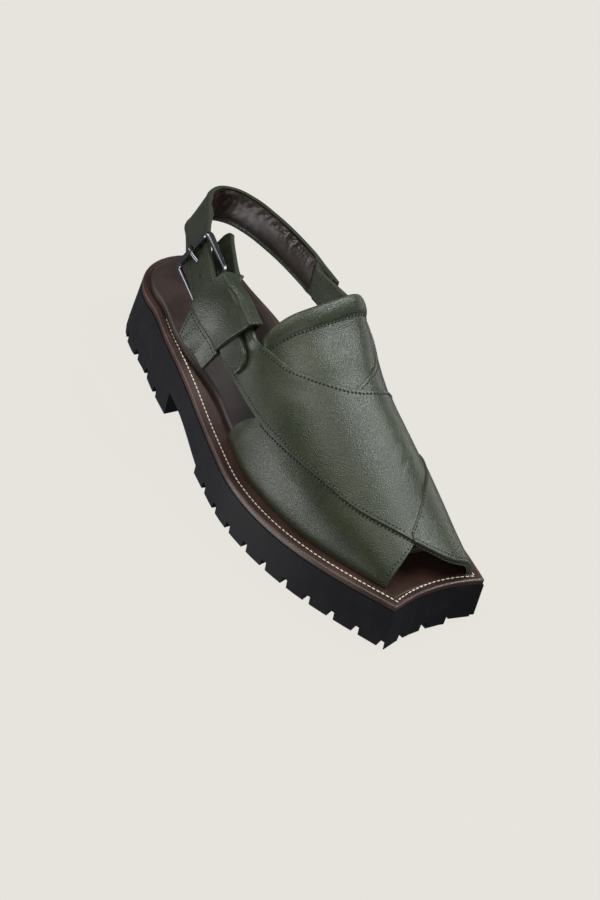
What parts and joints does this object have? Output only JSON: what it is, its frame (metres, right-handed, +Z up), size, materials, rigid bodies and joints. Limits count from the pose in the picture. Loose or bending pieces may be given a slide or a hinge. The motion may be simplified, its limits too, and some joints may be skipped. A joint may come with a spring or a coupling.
{
  "type": "leather chappal",
  "caption": "Right-foot peshawari chappal with crossed leather bands over the foot, an open toe, a buckled heel strap, a leather welt and footbed, and a thick lugged rubber sole.",
  "frame": {"origin": "on the ground, under the middle of the sole", "axes": "+X to the toe, +Y to the medial side, +Z up; the buckle is on the -Y, lateral side"},
  "size_m": [0.3028, 0.1042, 0.1199],
  "materials": {
    "outsole_rubber": "matte",
    "welt_leather": "satin",
    "footbed_leather": "satin",
    "upper_leather": "semi-gloss",
    "strap_leather": "semi-gloss",
    "keeper_leather": "semi-gloss",
    "buckle_metal": "polished dark",
    "prong_metal": "polished dark"
  },
  "bodies": {
    "root": {"outsole": "outsole_rubber", "welt": "welt_leather", "insole": "footbed_leather", "upper": "upper_leather", "heel_strap": "strap_leather", "strap_keeper": "keeper_leather", "buckle_frame": "buckle_metal", "buckle_prong": "prong_metal"}
  },
  "joints": []
}
